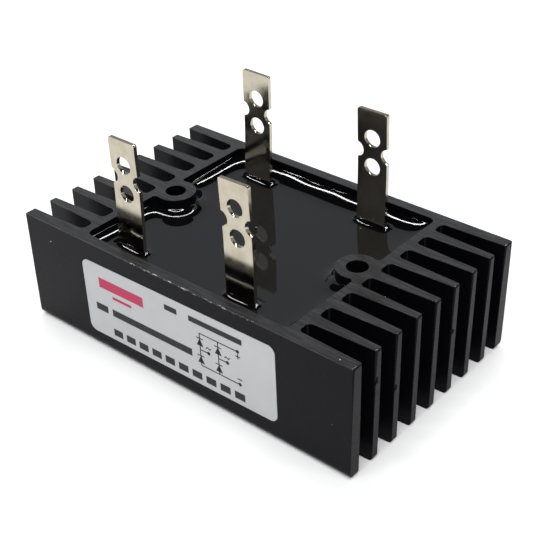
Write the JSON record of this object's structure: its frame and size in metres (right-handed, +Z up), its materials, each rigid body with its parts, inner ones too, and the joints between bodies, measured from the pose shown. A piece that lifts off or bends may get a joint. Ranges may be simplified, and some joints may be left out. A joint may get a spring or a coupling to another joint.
{
  "type": "bridge rectifier",
  "caption": "Single-phase bridge rectifier: potted circuit in a black finned die-cast housing, with a label and upright terminal tabs with wire holes.",
  "frame": {"origin": "centre of the flat underside of the housing", "axes": "+X along the long side, across the fins' ends; -Y is the side with the label; +Z up, out of the potted pocket"},
  "size_m": [0.102, 0.0623, 0.0576],
  "materials": {
    "housing": "satin",
    "resin": "gloss",
    "label": "satin",
    "tab": "satin",
    "copper": "satin",
    "ceramic": "matte",
    "silicon": "polished",
    "solder": "satin"
  },
  "bodies": {
    "root": {"heat_sink": "housing", "potting_resin": "resin", "label": "label", "tab_plus": "tab", "tab_minus": "tab", "tab_ac1": "tab", "tab_ac2": "tab", "ceramic_plus": "ceramic", "ceramic_minus": "ceramic", "ceramic_ac1": "ceramic", "ceramic_ac2": "ceramic", "plate_plus": "copper", "plate_minus": "copper", "plate_ac1": "copper", "plate_ac2": "copper", "chip_1": "silicon", "chip_2": "silicon", "chip_3": "silicon", "chip_4": "silicon", "solder_low_1": "solder", "solder_low_2": "solder", "solder_low_3": "solder", "solder_low_4": "solder", "solder_top_1": "solder", "solder_top_2": "solder", "solder_top_3": "solder", "solder_top_4": "solder", "jumper_ac1": "copper", "jumper_ac2": "copper", "bridge_minus": "copper", "solder_tab_plus": "solder", "solder_tab_minus": "solder", "solder_tab_ac1": "solder", "solder_tab_ac2": "solder", "solder_jumper_ac1": "solder", "solder_jumper_ac2": "solder", "solder_bridge": "solder"}
  },
  "joints": []
}
